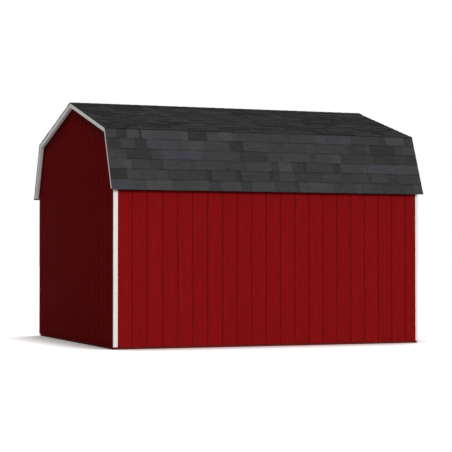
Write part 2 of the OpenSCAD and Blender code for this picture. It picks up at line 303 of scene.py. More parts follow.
# %% [markdown]
# ## Floor
# The floor has to look white and still keep the soft shadow at the foot of the gable, and under this
# light a white floor would come out grey. So what the camera sees is a diffuse floor with a glow added,
# and the glow fades towards whatever stands there: an Ambient Occlusion node measures how open the floor
# is. Light on its way to the shed meets a plain pale floor instead, so the glow doesn't light the shed
# from below.

# %% Lay the floor
FLOOR_REACH = 150.0
FLOOR_DROP = 0.002
FLOOR_COLOUR = 0.75
FLOOR_GAIN = 1.6
CONTACT_REACH = 1.1
OPEN_AT_WALL, OPEN_AWAY = 0.58, 0.97
GLOW_AT_WALL, GLOW_AWAY = 0.02, 0.76
OPENNESS_RAYS = 16


def grey(level):
    """A shader's grey of one level."""
    return (level, level, level, 1.0)


floor_finish = Finish("pale_floor")
plain_floor = floor_finish.node("ShaderNodeBsdfDiffuse", None, {"Color": grey(FLOOR_COLOUR)})
rays, reach = {"samples": OPENNESS_RAYS}, {"Distance": CONTACT_REACH}
openness = floor_finish.node("ShaderNodeAmbientOcclusion", rays, reach, out="AO")
glow = floor_finish.between(openness, OPEN_AT_WALL, OPEN_AWAY, GLOW_AT_WALL, GLOW_AWAY)
lit_floor = floor_finish.node("ShaderNodeBsdfDiffuse", None, {"Color": grey(FLOOR_GAIN)})
glow_floor = floor_finish.node("ShaderNodeEmission", None, {"Color": glow})
seen_floor = floor_finish.node("ShaderNodeAddShader", None, {0: lit_floor, 1: glow_floor})
floors = {0: floor_finish.seen(), 1: plain_floor, 2: seen_floor}
floor_mix = floor_finish.node("ShaderNodeMixShader", None, floors)
floor_finish.feed(floor_finish.tree.nodes["Material Output"].inputs["Surface"], floor_mix)

floor_mesh = bpy.data.meshes.new("floor")
square = ((-1, -1), (1, -1), (1, 1), (-1, 1))
floor_corners = [(x * FLOOR_REACH, y * FLOOR_REACH, -FLOOR_DROP) for x, y in square]
floor_mesh.from_pydata(floor_corners, [], [(0, 1, 2, 3)])
floor_mesh.materials.append(floor_finish.owner)
floor = new_object("floor", floor_mesh)
print("floor", 2 * FLOOR_REACH, "m wide")

# %% [markdown]
# ## Barn red paint
# The siding is a wood-fibre sheet with a pressed grain, grooved to look like planks and painted red. A
# photograph of it would repeat, so the grain is noise stretched along the height of the wall: broad
# streaks, and narrow furrows that are pressed in and hold a darker tone. Each plank between two grooves
# has a slight tone of its own, and the grooves are darkened by dirt and by painted shade. The paint is
# nearly matt. The gables take a darker copy of the red, which is painted shade, and their grain is calmer
# than the long sides'. Along the rakes a painted shadow darkens them further.

# %% Find the grooves
GROOVE_PITCH = 0.2032
GROOVE_SHALLOWEST, GROOVE_DEEPEST = 0.002, 0.008


def groove_places(node, axis):
    """Middles of the grooves of a siding sheet, from the corners that lie below its face."""
    spots = corners(node)
    depth = 1 - axis
    inside = np.abs(np.abs(spots[:, depth]) - np.abs(spots[:, depth]).max())
    in_groove = (inside > GROOVE_SHALLOWEST) & (inside < GROOVE_DEEPEST)
    edges = np.unique(spots[in_groove][:, axis].round(4))
    groups = np.split(edges, np.flatnonzero(np.diff(edges) > GROOVE_PITCH / 2) + 1)
    return np.array([(group[0] + group[-1]) / 2 for group in groups])


side_grooves = groove_places("right_siding", 1)
end_grooves = groove_places("back_siding", 0)
print(len(side_grooves), "grooves on a long side,", len(end_grooves), "on a gable")


# %% Find the edges of the rakes
def rake_edge(node, low, high):
    """The lower edge of a rake board, as weights for the depth of a spot below it."""
    run = (high - low) / np.hypot(*(high - low))
    out = np.array([run[1], -run[0]])
    return (*-out, (corners(node)[:, [0, 2]] @ out).min())


# These edges set where the painted shadow below the rakes lies on the gables.
rake_edges = [
    rake_edge("right_upper_rakes", break_edge, ridge),
    rake_edge("right_lower_rakes", eave_edge, break_edge),
]
print("depth below the rakes grows along", np.array(rake_edges)[:, :2].round(2).tolist())

# %% Mix the red
# The gables' red is a darker copy of the long sides' red: painted shade, since the gables stand out of the
# large light.
SIDE_RED, END_SHADED_RED = display(132, 18, 20), display(108, 3, 4)
# How far the grooves darken on each side: painted shade in the recess, and dirt.
SIDE_SHADE_AND_DIRT, END_SHADE_AND_DIRT = 0.18, 0.05
SIDE_GRAIN, END_GRAIN = 1.0, 0.45
GROOVE_WIDTH, SHADE_AND_DIRT_REACH = 0.010, 0.015
SHADE_AND_DIRT_LEAST, SHADE_AND_DIRT_DRIFT = 0.4, 1.2
RAKE_SHADOW_REACH, RAKE_SHADOW_SHADE = 0.17, 0.75
STREAK_SHAPE, GRAIN_SHAPE, FIBRE_SHAPE = (1.0, 1.0, 0.03), (1.0, 1.0, 0.045), (1.0, 1.0, 0.15)
FURROW_DEEP, FURROW_FLAT = 0.34, 0.54
STREAK_SHADE, FURROW_SHADE, PLANK_SHADE, CLOUD_SHADE = 0.3, 0.2, 0.05, 0.08


def barn_red(name, red, letter, first_groove, groove_shade_and_dirt, contrast, rake_shadows=()):
    """Red paint on grooved sheets whose planks follow one another along an axis.

    A rake shadow is the edge of a rake board, as weights that give the depth below it. Below each edge the
    red is darkened by a painted shadow that fades with depth.
    """
    finish = Finish(name)
    place = finish.place()
    spot = (finish.axis(place, letter) - first_groove) / GROOVE_PITCH
    plank = spot.floor()
    off_groove = (spot - (spot + 0.5).floor()).size() * GROOVE_PITCH
    # Painted shade and dirt darken each groove and a narrow band on either side of it.
    shade_and_dirt = finish.between(off_groove, GROOVE_WIDTH / 2, SHADE_AND_DIRT_REACH, groove_shade_and_dirt, 0.0)
    plank_tone = finish.node("ShaderNodeTexWhiteNoise", {"noise_dimensions": "1D"}, {"W": plank})
    streak = finish.noise(finish.stretch(place, STREAK_SHAPE), scale=45.0)
    grain = finish.noise(finish.stretch(place, GRAIN_SHAPE), scale=160.0, detail=4.0, rough=0.6, warp=0.4)
    fibre = finish.noise(finish.stretch(place, FIBRE_SHAPE), scale=620.0)
    cloud = finish.noise(place, scale=1.7)
    furrow = finish.between(grain, FURROW_DEEP, FURROW_FLAT, 1.0, 0.0)
    wood = (streak - 0.5) * STREAK_SHADE - furrow * FURROW_SHADE
    tone = 1.0 + (plank_tone - 0.5) * PLANK_SHADE + (cloud - 0.5) * CLOUD_SHADE + wood * contrast
    tone = tone * (1.0 - shade_and_dirt * (SHADE_AND_DIRT_LEAST + SHADE_AND_DIRT_DRIFT * cloud))
    # Painted shadow below the rake boards: the red darkens towards each rake's edge.
    for across, up, start in rake_shadows:
        depth = finish.axis(place, "X").size() * across + finish.axis(place, "Z") * up + start
        tone = tone * finish.between(depth, 0.0, RAKE_SHADOW_REACH, 1.0 - RAKE_SHADOW_SHADE, 1.0)
    colour = finish.blend(1.0, red, tone, "MULTIPLY")
    height = fibre * 0.25 - furrow
    return finish.paint(colour, 0.55 + grain * 0.2, height, depth=0.0012, strength=0.6, specular=0.004)


side_red = barn_red("side_siding_red", SIDE_RED, "Y", side_grooves[0], SIDE_SHADE_AND_DIRT, SIDE_GRAIN)
end_red = barn_red("end_siding_red", END_SHADED_RED, "X", end_grooves[0], END_SHADE_AND_DIRT, END_GRAIN, rake_edges)
eave_red = barn_red("eave_red", END_SHADED_RED, "X", end_grooves[0], END_SHADE_AND_DIRT, END_GRAIN)
print("three reds ready")

# %% [markdown]
# ## White trim paint
# The corner, rake and casing boards are smooth sawn boards with brushed white paint. Brush marks follow
# a board's length, but the boards run up, along and with the slope, so the marks are one fine noise,
# drawn out upwards. The tone drifts by a few percent, and a trace of dust lies low on the boards. The
# upright boards face the large light, so their white is a darker copy of the rakes' white: painted shade.

# %% Mix the white
RAKE_WHITE = display(247, 242, 239)
# The upright boards face the large light, so their white is a darker copy of the rakes': painted shade.
UPRIGHT_DIMMED_WHITE = display(224, 219, 216)
DUST = display(196, 184, 172)
DUST_FOOT, DUST_TOP, DUST_SHARE = 0.02, 0.30, 0.35
BRUSH_SHAPE = (1.0, 1.0, 0.12)
WHITE_TONE, BRUSH_SHADE, DRIFT_SHADE = 0.985, 0.05, 0.04


def trim_white(name, white):
    """Brushed white paint on boards."""
    finish = Finish(name)
    place = finish.place()
    brush = finish.noise(finish.stretch(place, BRUSH_SHAPE), scale=420.0, detail=3.0)
    drift = finish.noise(place, scale=3.0)
    dust = finish.noise(place, scale=14.0, detail=4.0)
    low = finish.between(finish.axis(place, "Z"), DUST_FOOT, DUST_TOP, DUST_SHARE, 0.0)
    tone = WHITE_TONE + (brush - 0.5) * BRUSH_SHADE + (drift - 0.5) * DRIFT_SHADE
    fresh = finish.blend(1.0, white, tone, "MULTIPLY")
    colour = finish.blend(low * dust, fresh, DUST)
    return finish.paint(colour, 0.42 + brush * 0.16, brush, depth=0.0004, strength=0.5, specular=0.5)


rake_white = trim_white("rake_white", RAKE_WHITE)
upright_white = trim_white("upright_white", UPRIGHT_DIMMED_WHITE)
print("two whites ready")

# %% [markdown]
# ## Shingle granules
# Asphalt shingles are felt pressed with crushed stone. The roof reads as charcoal from afar, with each
# tab a little lighter or darker than its neighbours, and short runs of tabs are of a bluer batch. The
# cut edges have no stones, so they are darker. The tone of a tab is stored on its mesh, in a colour
# attribute named `tint`, because only the code that lays the tabs knows where they end. Close up, small
# cells of varying tone and height stand for the stones.

# %% Mix the charcoal
CHARCOAL_DARK, CHARCOAL_LIGHT = display(53, 53, 53), display(73, 73, 74)
SLATE_BLUE = display(71, 71, 78)
BAND_START, BAND_FULL, BAND_SHADE = 0.86, 0.93, 0.16
CUT_EDGE, CUT_SHADE = -0.02, 0.45
GRANULE_SCALE = 420.0
PATCH_SHAPE = (1.0, 0.35, 1.0)
STONE_TONE, STONE_SHADE, PATCH_SHADE = 0.78, 0.36, 0.55


def charcoal_granules(name):
    """Mineral granules on asphalt, toned tab by tab.

    The tint holds a tab's tone, its share of the bluer batch and how far up the tab a point lies.
    """
    finish = Finish(name)
    place = finish.place()
    tint = finish.node("ShaderNodeAttribute", {"attribute_name": "tint"}, out="Color")
    tab_tone, blue, up_tab = (finish.channel(tint, part) for part in ("Red", "Green", "Blue"))
    # A darker band at the top of each tab's showing part, under the next course's butt: the printed shadow
    # line of laminated shingles, and painted shade.
    band = finish.between(up_tab, BAND_START, BAND_FULL, 1.0, 1.0 - BAND_SHADE)
    cut = finish.between(up_tab, CUT_EDGE, 0.0, CUT_SHADE, 1.0)
    stone_tone = finish.channel(finish.cells(place, GRANULE_SCALE, "Color"), "Red")
    stone_reach = finish.cells(place, GRANULE_SCALE, "Distance")
    patch = finish.noise(finish.stretch(place, PATCH_SHAPE), scale=22.0, detail=4.0, rough=0.6)
    felt = finish.blend(tab_tone, CHARCOAL_DARK, CHARCOAL_LIGHT)
    batch = finish.blend(blue, felt, SLATE_BLUE)
    tone = STONE_TONE + stone_tone * STONE_SHADE + (patch - 0.5) * PATCH_SHADE
    colour = finish.blend(1.0, batch, tone * band * cut, "MULTIPLY")
    height = 1 - stone_reach
    return finish.paint(colour, 0.86 + stone_tone * 0.1, height, depth=0.0009, strength=0.6, specular=0.012)


charcoal = charcoal_granules("charcoal_granules")
print("granules ready")

# %% [markdown]
# ## Sawn timber and flake board
# Under the paint and the shingles the shed is plain softwood and flake board. Both show from below and
# inside. Sawn grain is noise stretched along the board, so each direction of board has a finish
# of its own. Flake board is pressed from chips: two sets of long cells, laid across each other and bent
# by noise, give chips of mixed tan. The floor timbers are treated and redder, and darkened as painted
# shade.

# %% Mix the sawn timbers
SPRUCE_PALE, SPRUCE_DEEP = display(214, 184, 138), display(176, 134, 84)
# The treated timbers are darkened into painted shade, so the rims show as a dark line under the siding.
TREATED_SHADED_PALE, TREATED_SHADED_DEEP = display(114, 34, 30), display(84, 26, 22)
ALONG = {"X": (0.05, 1.0, 1.0), "Y": (1.0, 0.05, 1.0), "Z": (1.0, 1.0, 0.05)}
RING_SHARE, PORE_SHARE, DRIFT_SHARE = 0.75, 0.25, 0.5


def sawn_timber(name, letter, pale, deep):
    """Sawn softwood whose grain runs along an axis."""
    finish = Finish(name + "_along_" + letter)
    place = finish.place()
    lie = finish.stretch(place, ALONG[letter])
    rings = finish.noise(lie, scale=55.0, detail=3.0, rough=0.5, warp=1.2)
    pores = finish.noise(lie, scale=420.0)
    drift = finish.noise(place, scale=2.2)
    share = rings * RING_SHARE + pores * PORE_SHARE + (drift - 0.5) * DRIFT_SHARE
    colour = finish.blend(share, pale, deep)
    height = rings * 0.5 + pores * 0.5
    return finish.paint(colour, 0.62 + pores * 0.2, height, depth=0.0008, strength=0.5, specular=0.02)


spruce = {letter: sawn_timber("spruce", letter, SPRUCE_PALE, SPRUCE_DEEP) for letter in "XYZ"}
treated = {letter: sawn_timber("treated", letter, TREATED_SHADED_PALE, TREATED_SHADED_DEEP) for letter in "XY"}
print(len(spruce) + len(treated), "sawn timbers")

# %% Press the flake board
CHIP_BEND = (0.06, 0.06, 0.06)
LONG_CHIPS, CROSS_CHIPS = (1.0, 0.22, 1.0), (0.25, 1.0, 0.25)
CHIP_TANS = [(0.0, display(150, 108, 62)), (0.5, display(190, 150, 98)), (1.0, display(216, 184, 134))]


def flake_board(name):
    """Pressed chips of softwood, in mixed tans."""
    finish = Finish(name)
    place = finish.place()
    bend = finish.node("ShaderNodeTexNoise", None, {"Vector": place, "Scale": 6.0}, out="Color")
    shift = {0: bend, 1: CHIP_BEND, 2: place}
    bent = finish.node("ShaderNodeVectorMath", {"operation": "MULTIPLY_ADD"}, shift)
    first = finish.cells(finish.stretch(bent, LONG_CHIPS), 55.0, "Color")
    second = finish.cells(finish.stretch(bent, CROSS_CHIPS), 48.0, "Color")
    first_tone = finish.channel(first, "Red")
    second_tone = finish.channel(second, "Green")
    on_top = finish.channel(second, "Blue") > 0.5
    share = first_tone + on_top * (second_tone - first_tone)
    colour = finish.node("ShaderNodeValToRGB", {"stops": CHIP_TANS}, {0: share})
    return finish.paint(colour, 0.6 + share * 0.2, share, depth=0.0006, strength=0.5, specular=0.2)


flakes = flake_board("flake_board")
print("flake board ready")

# %% [markdown]
# ## Black steel
# The hinges and the handle are stamped and bent steel with a black powder coat. The coat has a fine
# orange-peel texture, which the bump gives, and it dulls where hands and weather rub it.

# %% Mix the black
COAT_BLACK, COAT_WORN = display(32, 32, 34), display(64, 62, 60)
WORN_ABOVE, WORN_SHARE = 0.62, 0.4


def black_coat(name):
    """Black powder coat on steel."""
    finish = Finish(name)
    place = finish.place()
    peel = finish.noise(place, scale=700.0)
    wear = finish.noise(place, scale=26.0, detail=5.0, rough=0.65)
    rubbed = (wear > WORN_ABOVE) * WORN_SHARE
    colour = finish.blend(rubbed, COAT_BLACK, COAT_WORN)
    return finish.paint(colour, 0.38 + wear * 0.2, peel, depth=0.0003, strength=0.4, specular=0.2)


black_steel = black_coat("black_steel")
print("black coat ready")

# %% [markdown]
# ## Boards and sheets with eased edges
# A sawn or primed edge is never perfectly sharp, and the thin bright line along it is most of what makes
# a board look real. Modelling each board again would repeat the frame, so every sheet and board that
# shows is copied from its solid, its flat faces are joined up again, and its edges are rounded by a
# bevel.

# %% Make a piece
def add_piece(name, points, faces, material, replaced=()):
    """A new piece of the shed from plain lists of points and faces."""
    mesh = bpy.data.meshes.new(name)
    mesh.from_pydata(points, [], faces)
    mesh.validate()
    work = bmesh.new()
    work.from_mesh(mesh)
    bmesh.ops.recalc_face_normals(work, faces=work.faces)
    work.to_mesh(mesh)
    work.free()
    mesh.materials.append(material)
    piece = new_object(name, mesh)
    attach(piece, "root")
    if replaced:
        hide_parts(*replaced)
    return piece


# %% Ease the edges
SHARP = math.radians(20)
NEARLY_FLAT = math.radians(1)
SAME_SPOT = 1e-5
EASE_STEPS = 2


def ease_edges(work, ease):
    """Rounds the sharp edges of a mesh over by a radius, and gives its points and faces."""
    sharp = [edge for edge in work.edges if edge.calc_face_angle(0.0) > SHARP]
    bmesh.ops.bevel(
        work, geom=sharp, offset=ease, segments=EASE_STEPS, profile=0.5, affect="EDGES", clamp_overlap=True,
    )
    work.verts.index_update()
    points = [tuple(vert.co) for vert in work.verts]
    faces = [[vert.index for vert in face.verts] for face in work.faces]
    work.free()
    return points, faces


def eased_copy(name, node, ease, material):
    """Copies a solid with eased edges."""
    work = bmesh.new()
    work.from_mesh(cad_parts[node].data)
    bmesh.ops.remove_doubles(work, verts=work.verts, dist=SAME_SPOT)
    bmesh.ops.dissolve_limit(work, angle_limit=NEARLY_FLAT, verts=work.verts, edges=work.edges)
    points, faces = ease_edges(work, ease)
    return add_piece(name, points, faces, material, (node,))


# %% Copy the sheets and boards
SHEET_EASE, BOARD_EASE = 0.0015, 0.003
RED_SHEETS = (
    (side_red, "_sheet", ("left_siding", "right_siding")),
    (end_red, "_sheet", ("back_siding", "front_left_siding", "front_right_siding", "front_gable_siding")),
    (end_red, "_panel", ("left_door_leaf", "right_door_leaf")),
    (eave_red, "_panel", ("eave_soffits", "eave_returns")),
)
WHITE_BOARDS = (
    (upright_white, ("corner_boards", "door_side_casings", "door_head_casing")),
    (rake_white, ("left_upper_rakes", "left_lower_rakes", "right_upper_rakes", "right_lower_rakes")),
)

for red, ending, nodes in RED_SHEETS:
    for node in nodes:
        eased_copy(node + ending, node, SHEET_EASE, red)
for white, nodes in WHITE_BOARDS:
    for node in nodes:
        eased_copy(node + "_white", node, BOARD_EASE, white)
print("edges eased by", SHEET_EASE, "and", BOARD_EASE, "m")

# %% [markdown]
# ## Shingle courses
# Roofers lay shingles from the eave up, each course lapping the one below. These are laminated shingles:
# a full-width backing with thick tabs of uneven width on it, so that each course casts a broken shadow.
# A displacement map couldn't show that at the roof's edge. Each backing strip and tab is a thin wedge,
# thick at its lower edge, and all the wedges of a slope are joined into one mesh.

# %% Set out a slope
class Slope:
    """One roof slope: a foot at its lower edge on the sheets, and directions up and out of it."""

    def __init__(self, low, high, side):
        run = high - low
        self.length = float(np.hypot(*run))
        rise = run / self.length
        self.up = np.array([side * rise[0], 0.0, rise[1]])
        self.out = np.array([side * rise[1], 0.0, -rise[0]])
        self.foot = np.array([side * low[0], 0.0, low[1]]) - self.out * shingle_layer

    def point(self, run, along, height):
        return self.foot + self.up * run + self.out * height + np.array([0.0, along, 0.0])


print("upper slope", round(Slope(break_edge, ridge, 1).length, 3), "m")
print("lower slope", round(Slope(eave_edge, break_edge, 1).length, 3), "m")

# %% Gather the wedges
BOX_FACES = [(0, 1, 2, 3), (7, 6, 5, 4), (0, 4, 5, 1), (1, 5, 6, 2), (2, 6, 7, 3), (3, 7, 4, 0)]
UNDERSIDE = -1.0


def counted_from(start, faces):
    """The same faces, with their corners counted from a start."""
    return [[start + corner for corner in face] for face in faces]


class Courses:
    """Collects the wedges of one roof piece and their tints."""

    def __init__(self):
        self.points = []
        self.faces = []
        self.tints = []

    def wedge(self, slope, runs, alongs, heights, tint, head=1.0, skew=0.0):
        """A wedge from its lower to its upper run, between two places along the roof.

        The head is how far its upper end lies up the part that shows, where 1 is the next course.
        """
        first = len(self.points)
        low, high = runs
        left, right = alongs
        for lift in (0.0, 1.0):
            for run, along, height in (
                (low - skew, left, heights[0]),
                (low + skew, right, heights[0]),
                (high, right, heights[1]),
                (high, left, heights[1]),
            ):
                self.points.append(tuple(slope.point(run, along, lift * height)))
        self.faces += counted_from(first, BOX_FACES)
        self.tints += [(*tint, share) for share in (*[UNDERSIDE] * 4, 0.0, 0.0, head, head)]

    def make(self, name, replaced):
        piece = add_piece(name, self.points, self.faces, charcoal, replaced)
        tint = piece.data.attributes.new("tint", "FLOAT_COLOR", "POINT")
        tint.data.foreach_set("color", np.array([(*point, 1.0) for point in self.tints]).ravel())
        return piece


# %% Write down how to lay a slope
BACK_LOW, BACK_HIGH = 0.0052, 0.0012
TAB_LOW, TAB_HIGH = 0.0090, 0.0045
STRIP_LENGTHS = (0.45, 0.95)
GAP_WIDTHS = (0.05, 0.22)
BLUE_WIDTHS = (0.30, 0.60)
BLUE_SHARE = 0.8
NARROWEST_TAB = 0.02
TAB_SKEW = 0.0012
HEAD_LAP = 0.03
JOINT = 0.0003
NOSE = 0.007
HARDLY = 1e-6


def tab_tint(dice, tones, middle=0.0, blue_run=(0.0, 0.0)):
    """Tone of a tab, and how far it is of a bluer batch, for a tab at a place along its course."""
    blue = BLUE_SHARE if blue_run[0] < middle < blue_run[1] else 0.0
    return min(1.0, max(0.0, dice.gauss(*tones))), blue


def lay_slope(name, slope, course_count, replaced, seed, tab_widths, tones, blue_chance):
    """Covers a slope with courses of backing strips and tabs. Some courses have a bluer run."""
    dice = random.Random(seed)
    courses = Courses()
    exposure = slope.length / course_count
    for index in range(course_count):
        low = index * exposure - (NOSE if index == 0 else 0.0)
        high = (index + 1) * exposure
        lap = high + (HEAD_LAP if index < course_count - 1 else 0.0)
        head = (lap - low) / exposure
        blue_start = dice.uniform(-roof_end, roof_end)
        blue_width = dice.uniform(*BLUE_WIDTHS) if dice.random() < blue_chance else 0.0
        blue_run = (blue_start, blue_start + blue_width)
        along = -roof_end
        while along < roof_end - HARDLY:
            step = min(dice.uniform(*STRIP_LENGTHS), roof_end - along)
            tint = tab_tint(dice, tones, along + step / 2, blue_run)
            sides = (along, min(along + step, roof_end + JOINT) - JOINT)
            courses.wedge(slope, (low, lap), sides, (BACK_LOW, BACK_HIGH), tint, head)
            along += step
        along = -roof_end - dice.uniform(0.0, tab_widths[0])
        while along < roof_end:
            end = along + dice.uniform(*tab_widths)
            sides = (max(along, -roof_end), min(end, roof_end))
            if sides[1] - sides[0] > NARROWEST_TAB:
                skew = dice.uniform(-TAB_SKEW, TAB_SKEW)
                tint = tab_tint(dice, tones, (along + end) / 2, blue_run)
                courses.wedge(slope, (low, high), sides, (TAB_LOW, TAB_HIGH), tint, 1.0, skew)
            along = end + dice.uniform(*GAP_WIDTHS)
    courses.make(name, replaced)
    print(name, len(courses.faces), "faces")


# %% Lay the courses
SIDES = (("left", -1), ("right", 1))
LOWER_COURSES, UPPER_COURSES = 6, 12
LOWER_TABS, UPPER_TABS = (0.16, 0.42), (0.18, 0.50)
LOWER_TONES, UPPER_TONES = (0.42, 0.27), (0.45, 0.30)
LOWER_BLUE, UPPER_BLUE = 0.9, 0.25
LOWER_SEED, UPPER_SEED = 20, 40

for index, (side_name, side) in enumerate(SIDES):
    lay_slope(
        side_name + "_lower_courses", Slope(eave_edge, break_edge, side), LOWER_COURSES,
        (side_name + "_lower_shingles",), LOWER_SEED + index, LOWER_TABS, LOWER_TONES, LOWER_BLUE,
    )
    lay_slope(
        side_name + "_upper_courses", Slope(break_edge, ridge, side), UPPER_COURSES,
        (side_name + "_upper_shingles",), UPPER_SEED + index, UPPER_TABS, UPPER_TONES, UPPER_BLUE,
    )

# %% [markdown]
# ## Ridge caps
# The ridge is closed by single shingles folded over it, each lapping the one before. A fold is a short
# bend with two flat wings, so a cap is a strip with five points across the ridge. It is lifted at the
# end that laps, which gives the ridge its row of small steps.

# %% Fold the ridge caps
CAP_EXPOSURE = 0.143
CAP_LAP = 0.03
CAP_LIFT = 0.003
CAP_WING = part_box("ridge_cap")[1].x / math.cos(upper_pitch)
CAP_BEND = 0.012
CAP_THICK = 0.0045
CAP_POINTS = 5
CAP_SEED = 61


def cap_line(height):
    """Points across the ridge at a height over the shingles: wing, bend, crown, bend, wing."""
    base = ridge[1] - CAP_THICK
    level, fall = math.cos(upper_pitch), math.sin(upper_pitch)
    wing, bend = [(run * level, base - run * fall + height) for run in (CAP_WING, CAP_BEND)]
    crown = base + height / level - CAP_BEND / 2 * fall
    return [(-x, z) for x, z in (wing, bend)] + [(0.0, crown), bend, wing]


def fold_caps(name, replaced, seed):
    """A row of folded cap shingles along the whole ridge."""
    dice = random.Random(seed)
    courses = Courses()
    count = round(2 * roof_end / CAP_EXPOSURE)
    exposure = 2 * roof_end / count
    for index in range(count):
        near = -roof_end + index * exposure
        far = min(near + exposure + CAP_LAP, roof_end)
        first = len(courses.points)
        tint = tab_tint(dice, LOWER_TONES)
        for along, lift in ((near, CAP_THICK + CAP_LIFT), (far, CAP_THICK)):
            for height, share in ((lift, 0.0), (lift - CAP_THICK, UNDERSIDE)):
                courses.points += [(x, along, z) for x, z in cap_line(height)]
                courses.tints += [(*tint, share)] * CAP_POINTS
        lines = [first + line * CAP_POINTS for line in range(4)]
        for step in range(CAP_POINTS - 1):
            top_near, low_near, top_far, low_far = (line + step for line in lines)
            courses.faces += [
                [top_near, top_near + 1, top_far + 1, top_far],
                [low_far, low_far + 1, low_near + 1, low_near],
                [top_near + 1, top_near, low_near, low_near + 1],
                [top_far, top_far + 1, low_far + 1, low_far],
            ]
        courses.faces.append([lines[line] for line in (0, 2, 3, 1)])
        courses.faces.append([lines[line] + CAP_POINTS - 1 for line in (0, 1, 3, 2)])
    courses.make(name, replaced)
    print(name, count, "caps")


fold_caps("ridge_cap_shingles", ("ridge_cap",), CAP_SEED)

# %% [markdown]
# ## Nail heads
# The sheets are nailed to every stud, and the trim boards twice at each fixing. A painted nail head is a
# disc of a few millimetres with a low dome. There are hundreds, so one small dome is copied by arrays
# to all its places and joined into one mesh a wall. Nails keep clear of the grooves. The paint is
# thinner on a head than on the board and dirt stays round it, so nails are a shade darker than what
# they hold.

# %% Paint the nails
def nail_paint(name, colour):
    """Thin paint on hammered steel: uneven in tone, with small dents."""
    finish = Finish(name)
    place = finish.place()
    dents = finish.noise(place, scale=900.0)
    wear = finish.noise(place, scale=130.0, detail=3.0)
    shade = finish.blend(1.0, colour, 0.75 + wear * 0.5, "MULTIPLY")
    return finish.paint(shade, 0.5 + wear * 0.2, dents, depth=0.0003, strength=0.5, specular=0.015)


side_nail = nail_paint("side_nail_red", display(112, 12, 14))
# The gables' nails take a darker copy too, painted shade like the gables' red.
end_nail = nail_paint("end_nail_red", display(94, 4, 5))
rake_nail = nail_paint("rake_nail_white", display(222, 216, 211))
# The upright boards' nails are dimmed with the boards: painted shade.
upright_nail = nail_paint("upright_nail_white", display(201, 196, 192))
print("four nail paints")

# %% Shape a row of nails
NAIL_RADIUS = 0.0042
NAIL_DOME = 0.0011
NAIL_SUNK = 0.0006
NAIL_SIDES = 10
DOME_RIM, DOME_SHOULDER = (1.0, 0.35), (0.6, 0.85)


def around(sides):
    """Angles of the points of a ring."""
    return [2 * math.pi * side / sides for side in range(sides)]


def ring_faces(rings, sides):
    """Faces between rings of points that follow one another."""
    faces = []
    for start in range(0, (rings - 1) * sides, sides):
        for side in range(sides):
            here, beside = start + side, start + (side + 1) % sides
            faces.append([here, beside, beside + sides, here + sides])
    return faces


def dome(radius, height, sunk, sides):
    """A low dome on a disc, pointing along +Z, as points and faces."""
    rings = [(radius, -sunk)]
    rings += [(radius * wide, height * tall) for wide, tall in (DOME_RIM, DOME_SHOULDER)]
    points = [
        (wide * math.cos(angle), wide * math.sin(angle), level)
        for wide, level in rings for angle in around(sides)
    ]
    points.append((0.0, 0.0, height))
    faces = [list(range(sides))[::-1]] + ring_faces(len(rings), sides)
    last = (len(rings) - 1) * sides
    faces += [[last + side, last + (side + 1) % sides, len(points) - 1] for side in range(sides)]
    return np.array(points), faces


def nail_rows(name, places, facing, material, radius=NAIL_RADIUS):
    """One mesh of nail heads at many places, all facing one way."""
    shape, shape_faces = dome(radius, NAIL_DOME, NAIL_SUNK, NAIL_SIDES)
    turn = np.array(Vector(facing).to_track_quat("Z", "Y").to_matrix())
    turned = shape @ turn.T
    points = (np.array(places)[:, None, :] + turned[None]).reshape(-1, 3)
    faces = []
    for start in range(0, len(points), len(shape)):
        faces += counted_from(start, shape_faces)
    add_piece(name, [tuple(point) for point in points], faces, material)
    print(name, len(places), "nails")


# %% Find the studs behind the sheets
GROOVE_CLEAR = 0.014
NAIL_SHIFT = 1.6 * GROOVE_CLEAR
RAKE_COVER = 0.2


def board_middles(node, axis):
    """Middles of the upright boards of a node along a wall, right or back, from their faces."""
    spots = corners(node)
    edges = np.unique(spots[spots[:, 1 - axis] > 0][:, axis].round(4))
    return (edges[0::2] + edges[1::2]) / 2


def beside_groove(place, grooves):
    """Moves a nail off a groove if it would fall into one."""
    gap = place - grooves[np.abs(grooves - place).argmin()]
    if abs(gap) > GROOVE_CLEAR:
        return place
    return place + (NAIL_SHIFT if gap >= 0 else -NAIL_SHIFT)


def highest_nail(across):
    """Height on a gable, at a distance from its middle, that stays clear of the rake boards."""
    steepness = (break_edge[1] - eave_edge[1]) / (eave_edge[0] - break_edge[0])
    lower_slope = eave_edge[1] + (eave_edge[0] - across) * steepness
    upper_slope = ridge[1] - across * math.tan(upper_pitch)
    return min(lower_slope, upper_slope) - RAKE_COVER


side_studs = board_middles("side_studs", 1)
back_studs = board_middles("end_studs", 0)
print(len(side_studs), "studs in a long side,", len(back_studs), "in the back")

# %% Nail the sheets
NAIL_ROWS = 9
FOOT_MARGIN, EAVE_MARGIN, DOOR_MARGIN = 0.05, 0.03, 0.03
GABLE_STEP = 0.245

side_levels = np.linspace(side_foot + FOOT_MARGIN, eave_edge[1] - EAVE_MARGIN, NAIL_ROWS)
side_lines = [beside_groove(y, side_grooves) for y in side_studs]
for side_name, side in SIDES:
    spots = [(side * side_face, y, z) for y in side_lines for z in side_levels]
    nail_rows(side_name + "_siding_nails", spots, (side, 0, 0), side_nail)

gable_levels = np.arange(side_foot + FOOT_MARGIN, ridge[1], GABLE_STEP)
back_spots = [
    (beside_groove(x, end_grooves), end_face, z)
    for x in back_studs for z in gable_levels if z < highest_nail(abs(x))
]
nail_rows("back_siding_nails", back_spots, (0, 1, 0), end_nail)
door_low, door_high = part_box("door_head_casing")
front_spots = [
    (x, -y, z) for x, y, z in back_spots
    if z > door_high.z + DOOR_MARGIN or abs(x) > door_high.x + DOOR_MARGIN
]
nail_rows("front_siding_nails", front_spots, (0, -1, 0), end_nail)

